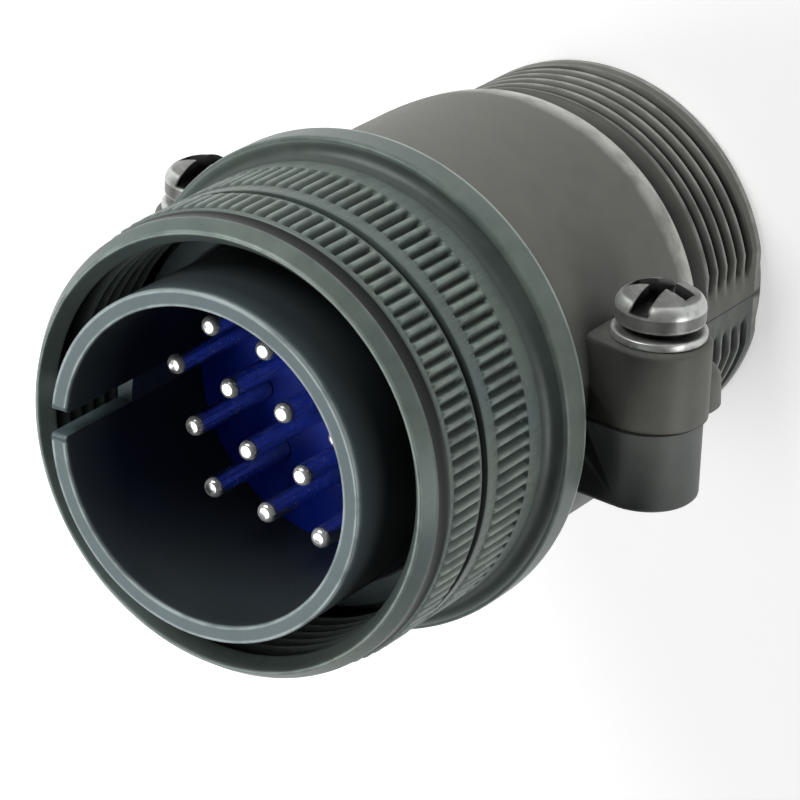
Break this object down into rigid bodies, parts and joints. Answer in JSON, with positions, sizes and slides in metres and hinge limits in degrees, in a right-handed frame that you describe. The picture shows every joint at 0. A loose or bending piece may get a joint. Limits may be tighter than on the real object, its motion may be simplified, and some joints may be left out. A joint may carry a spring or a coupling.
{
  "type": "circular connector plug",
  "caption": "Cable plug of a multi-pin circular connector, with pin contacts in a barrel, a knurled coupling nut that spins freely and a split clamping backshell.",
  "frame": {"origin": "centre of the rear (cable) end face of the backshell", "axes": "+Z along the connector's axis from the cable end to the mating rim, -Y towards the clamp screws' heads, +X through the ear on the barrel slot's side"},
  "size_m": [0.0472, 0.0372, 0.0535],
  "materials": {
    "barrel": "satin blue-grey plating",
    "coupling_nut": "satin grey-green plating, worn bright on the edges",
    "backshell": "satin olive-grey plating over a die casting",
    "insert": "royal blue moulded",
    "contact": "silver-plated copper alloy",
    "screw_steel": "dull plated steel"
  },
  "bodies": {
    "plug": {"barrel": "barrel", "insert_front": "insert", "insert_rear": "insert", "insert_snap_ring": "screw_steel", "contact_01": "contact", "contact_02": "contact", "contact_03": "contact", "contact_04": "contact", "contact_05": "contact", "contact_06": "contact", "contact_07": "contact", "contact_08": "contact", "contact_09": "contact", "contact_10": "contact", "contact_11": "contact", "contact_12": "contact", "contact_13": "contact", "contact_14": "contact", "backshell_head_half": "backshell", "backshell_tapped_half": "backshell", "clamp_screws": "screw_steel", "lock_washers": "screw_steel"},
    "nut": {"coupling_nut": "coupling_nut"}
  },
  "joints": [
    {"name": "nut_spin", "type": "hinge", "parent": "plug", "child": "nut", "pos_m": [0, 0, 0.0385], "axis": [0, 0, 1], "continuous": true}
  ]
}
